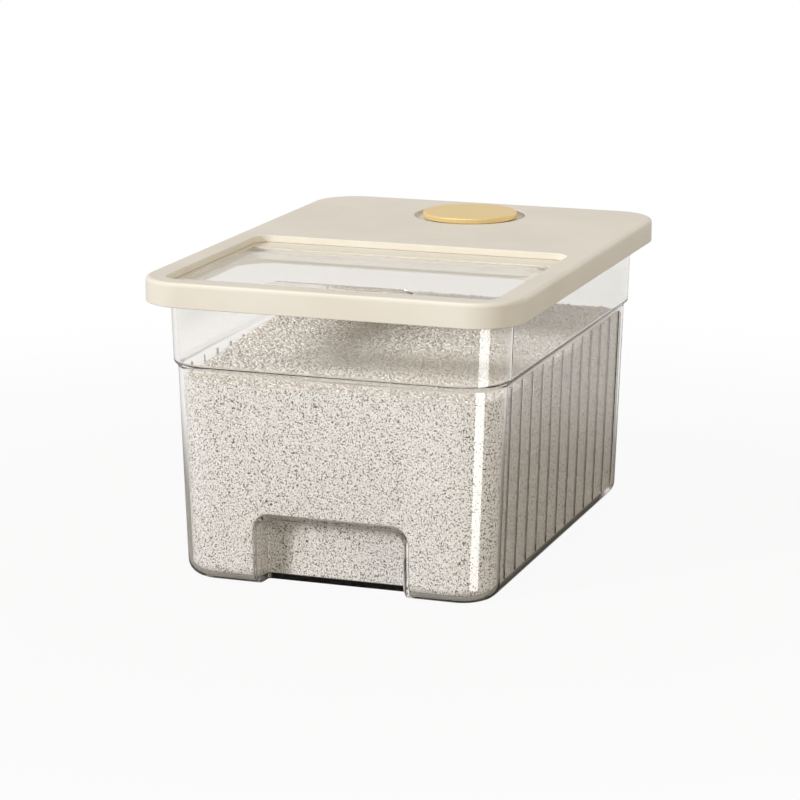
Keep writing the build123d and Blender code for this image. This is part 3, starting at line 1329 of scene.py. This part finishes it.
@dataclass
class Flap:
    """The clear pane over the scoop hole, with its finger lip and its two knuckles."""

    thickness: float = mm(2.6)
    corner: float = mm(5.5)
    lip_half: float = mm(58.0)
    lip_ramp: float = mm(13.0)
    lip_height: float = mm(3.2)
    lip_thickness: float = mm(3.2)
    lip_round: float = 0.46
    knuckle_radius: float = mm(3.25)
    knuckle_length: float = mm(10.5)
    pin_radius: float = mm(1.55)
    tail: float = mm(3.0)
    edge: float = mm(0.45)

    def lip(self, front: float, level: float) -> Piece:
        """Models the finger lip as a bar with sloping ends.

        Args:
            front: The place in depth of the flap's front edge.
            level: The height of the pane's top.

        Returns:
            The lip.
        """
        low = Vector((-self.lip_half, front, level - self.thickness / 2))
        high = Vector((self.lip_half, front + self.lip_thickness, level + self.lip_height))
        bar = block("lip", low, high)
        with editing(bar):
            pick_faces(bar, lambda normal: normal.z > LEVEL_LIMIT)
            ratio = (self.lip_half - self.lip_ramp) / self.lip_half
            bpy.ops.transform.resize(value=(ratio, 1.0, 1.0), center_override=(0.0, front, level))
            pick_edges(bar, lambda a, b: min(a.z, b.z) > level)
            offset = self.lip_thickness * self.lip_round
            bpy.ops.mesh.bevel(offset=offset, segments=RIM_SEGMENTS, affect="EDGES")
        return bar

    def build(self) -> Piece:
        """Models the flap.

        Returns:
            The flap's own piece.
        """
        low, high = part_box("flap")
        level = high.z - self.lip_height
        hinge = next(joint["pos_m"] for joint in frame["joints"] if joint["name"] == "flap_hinge")
        rear = hinge[1] + self.tail
        plan = Plan(high.x, (rear - low.y) / 2, self.corner, (rear + low.y) / 2)
        pane = stack("flap_pane", plan, level - self.thickness, self.thickness)
        combine(pane, self.lip(low.y, level), Joining.ADD)
        for side in (-1, 1):
            place = Vector((side * (high.x - self.knuckle_length / 2), hinge[1], hinge[2]))
            flat = Vector((0.0, math.pi / 2, 0.0))
            knuckle = drum("knuckle", self.knuckle_radius, place, self.knuckle_length, flat)
            combine(pane, knuckle, Joining.ADD)
            combine(pane, drum("pin", self.pin_radius, place, 2 * self.knuckle_length, flat), Joining.CUT)
        soften(pane, self.edge, segments=2)
        smooth(pane)
        return pane


@dataclass
class CapDisc:
    """The gold disc on top of the sachet cup's cap."""

    edge_round: float = mm(1.0)
    wall: float = mm(1.2)

    def build(self) -> Piece:
        """Models the disc.

        Returns:
            A shallow round cover with a rounded rim.
        """
        low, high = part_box("cap_plate")
        radius = (high.x - low.x) / 2
        base = Vector((0.0, (low.y + high.y) / 2, low.z))
        disc = drum("cap_disc", radius, base, high.z - low.z)
        with editing(disc):
            pick_edges(disc, lambda a, b: min(a.z, b.z) > high.z - NEAR)
            bpy.ops.mesh.bevel(offset=self.edge_round, segments=RIM_SEGMENTS, affect="EDGES")
            pick_faces(disc, lambda normal: normal.z < -LEVEL_LIMIT)
            bpy.ops.mesh.inset(thickness=self.wall)
            depth = high.z - low.z - self.wall
            bpy.ops.mesh.extrude_region_move(TRANSFORM_OT_translate={"value": (0.0, 0.0, depth)})
        smooth(disc)
        return disc


@dataclass(frozen=True)
class StripLamp:
    """A long lamp that shows only as a reflection, as bright along its axis whatever its spread."""

    name: str
    foot: Triple
    head: Triple
    aim: Triple
    width: float
    radiance: float
    spread: float = math.pi

    def build(self) -> None:
        """Adds the lamp between its foot and its head, facing its aim and unseen except in gloss."""
        foot, head = Vector(self.foot), Vector(self.head)
        middle = (foot + head) / 2
        along = (head - foot).normalized()
        across = along.cross(middle - Vector(self.aim)).normalized()
        data = bpy.data.lights.new(self.name, "AREA")
        data.shape = "RECTANGLE"
        data.size = self.width
        data.size_y = (head - foot).length
        half = self.spread / 2
        gain = math.tan(half) / (math.tan(half) - half)
        data.spread = self.spread
        data.energy = self.radiance * math.pi * data.size * data.size_y / gain
        lamp = bpy.data.objects.new(self.name, data)
        turn = Matrix((across, along, across.cross(along))).transposed()
        lamp.matrix_world = Matrix.Translation(middle) @ turn.to_4x4()
        lamp.visible_camera = False
        lamp.visible_diffuse = False
        lamp.visible_transmission = False
        bpy.context.scene.collection.objects.link(lamp)


@dataclass
class Studio:
    """Camera, light and floor."""

    camera_place: Vector = Vector((0.7013, -2.00517, 0.59836))
    elevation: float = math.radians(13.245)
    azimuth: float = math.radians(19.502)
    lens: float = 135.33
    sensor: float = 36.0
    ambient: float = 0.57
    key_strength: float = 2.42
    key_azimuth: float = math.radians(-42.0)
    key_elevation: float = math.radians(24.0)
    key_colour: Triple = (0.93, 0.962, 1.02)
    fill_strength: float = 0.55
    fill_azimuth: float = math.radians(62.0)
    fill_elevation: float = math.radians(20.0)
    fill_colour: Triple = (1.0, 0.93, 0.8)
    sun_spread: float = math.radians(10.0)
    sky_colour: Colour = (1.0, 0.962, 0.918, 1.0)
    gloss: float = 0.62
    floor_size: float = 24.0
    floor_colour: Colour = rgb(172, 168, 162)
    floor_white: float = 0.93
    white_from: Span = (0.3, 0.9)
    white_through: Span = (0.25, 0.55)
    white_mirrored: Span = (0.8, 2.4)
    bounces: int = 16
    lamps: tuple[StripLamp, ...] = (
        StripLamp(
            "corner_strip",
            foot=(0.1195, -0.1796, 0.001),
            head=(0.1316, -0.1787, 0.186),
            aim=(0.106, -0.167, 0.1),
            width=0.0165,
            radiance=16.0,
            spread=math.radians(100),
        ),
        StripLamp(
            "rear_strip",
            foot=(0.45, 1.44, 0.5),
            head=(0.45, 1.44, 0.92),
            aim=(0.13, 0.0, 0.2),
            width=0.7,
            radiance=0.9,
        ),
        StripLamp(
            "top_strip",
            foot=(-0.35, -0.6, 1.25),
            head=(-0.35, 0.0, 1.35),
            aim=(0.0, -0.15, 0.2),
            width=1.0,
            radiance=2.6,
        ),
    )

    def camera(self) -> None:
        """Puts the camera where the photograph was taken from."""
        data = bpy.data.cameras.new("camera")
        data.lens = self.lens
        data.sensor_width = self.sensor
        camera = bpy.data.objects.new("camera", data)
        camera.location = self.camera_place
        camera.rotation_euler = (math.pi / 2 - self.elevation, 0.0, self.azimuth)
        bpy.context.scene.collection.objects.link(camera)
        bpy.context.scene.camera = camera

    def world(self) -> None:
        """Lights the scene evenly from all round, with white for what is seen beyond the floor."""
        world = bpy.data.worlds.new("studio")
        world.use_nodes = True
        graph = Graph(world.node_tree)
        straight, through, mirrored = graph.rays()
        seen = straight.larger(through)
        strength = self.ambient + (1.0 - self.ambient) * seen + (self.gloss - self.ambient) * mirrored
        sky = graph.add("ShaderNodeBackground", None, {"Color": self.sky_colour, "Strength": strength})
        output = graph.tree.nodes.new("ShaderNodeOutputWorld")
        graph.tree.links.new(sky.socket, output.inputs["Surface"])
        bpy.context.scene.world = world

    def floor(self) -> None:
        """Lays a pale floor that is white further off, and keeps the object's shadow near it."""
        bpy.ops.mesh.primitive_plane_add(size=self.floor_size)
        floor = bpy.context.object
        floor.name = "floor"
        material = bpy.data.materials.new("pale_floor")
        material.use_nodes = True
        graph = Graph(material.node_tree)
        paint = graph.add("ShaderNodeBsdfDiffuse", None, {"Color": self.floor_colour})
        white = graph.add("ShaderNodeEmission", None, {"Color": (1.0, 1.0, 1.0, 1.0), "Strength": 1.0})
        away = graph.vector("LENGTH", graph.place(), out="Value")
        straight, through, mirrored = graph.rays()
        near = straight * (self.floor_white + (1.0 - self.floor_white) * away.within(*self.white_from))
        share = near.larger(through * away.within(*self.white_through))
        share = share.larger(mirrored * away.within(*self.white_mirrored))
        graph.surface(graph.add("ShaderNodeMixShader", None, {0: share, 1: paint, 2: white}))
        floor.data.materials.append(material)

    def sun(self, name: str, strength: float, azimuth: float, elevation: float, colour: Triple) -> None:
        """Adds one broad far lamp.

        Args:
            name: The lamp's name.
            strength: Its strength.
            azimuth: Where it stands, from straight in front towards the right.
            elevation: How high it stands.
            colour: Its colour.
        """
        data = bpy.data.lights.new(name, "SUN")
        data.energy = strength
        data.angle = self.sun_spread
        data.color = colour
        lamp = bpy.data.objects.new(name, data)
        lamp.rotation_euler = (math.pi / 2 - elevation, 0.0, azimuth)
        lamp.visible_glossy = False
        bpy.context.scene.collection.objects.link(lamp)

    def build(self) -> None:
        """Sets up the whole studio."""
        self.camera()
        self.world()
        self.floor()
        self.sun("key", self.key_strength, self.key_azimuth, self.key_elevation, self.key_colour)
        self.sun("fill", self.fill_strength, self.fill_azimuth, self.fill_elevation, self.fill_colour)
        for lamp in self.lamps:
            lamp.build()
        bpy.context.scene.view_settings.view_transform = "Standard"
        cycles = bpy.context.scene.cycles
        cycles.max_bounces = self.bounces
        cycles.glossy_bounces = self.bounces
        cycles.transmission_bounces = self.bounces


def dress(piece: Piece, material: bpy.types.Material) -> None:
    """Gives a piece one material all over."""
    piece.data.materials.clear()
    piece.data.materials.append(material)


def stand_for(piece: Piece, node: str, body: str, material: bpy.types.Material) -> None:
    """Puts a finished piece in the place of a node of the frame.

    Args:
        piece: The finished piece.
        node: The node that it replaces.
        body: The body that it moves with.
        material: Its finish.
    """
    dress(piece, material)
    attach(piece, body)
    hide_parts(node)
    log.info("%s stands for %s on %s", piece.name, node, body)


def main() -> None:
    """Builds every piece, dresses the frame and sets up the studio."""
    logging.basicConfig(level=logging.INFO, format="%(message)s")
    clear = ClearPlastic("clear_plastic").make()
    cream = MouldedPlastic("cream_plastic", rgb(233, 226, 211), rgb(228, 220, 203)).make()
    silicone = SoftSilicone("soft_silicone").make()
    steel = PlainSteel("plain_steel").make()
    cap_low, cap_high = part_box("cap_plate")
    gold = SatinGold("satin_gold", (cap_low + cap_high) / 2).make()

    tank = Tank()
    grooved = ClearPlastic("grooved_plastic", tank.groove_lines()).make()
    stand_for(tank.build(), "tank", "tank", grooved)
    rice = RiceFill(tank)
    pile = rice.body()
    dress(pile, PackedRice("packed_rice").make())
    grains = rice.grains()
    dress(grains, RiceGrain("rice_grain").make())
    for piece in (pile, grains):
        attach(piece, "tank")
        log.info("%s rides on the tank", piece.name)

    stand_for(LidCover(Window()).build(), "lid_cover", "lid", cream)
    stand_for(Flap().build(), "flap", "flap", clear)
    stand_for(CapDisc().build(), "cap_plate", "cap", gold)

    finishes = {"cream_plastic": cream, "soft_seal": silicone, "steel": steel}
    for entry in frame["record"]["subparts"]:
        node = frame["nodes"][entry["node"]]
        if not node.hide_render:
            dress(node, finishes[entry["material_slot"]])
            log.info("%s is dressed in %s", node.name, entry["material_slot"])

    Studio().build()


if __name__ == "__main__":
    main()
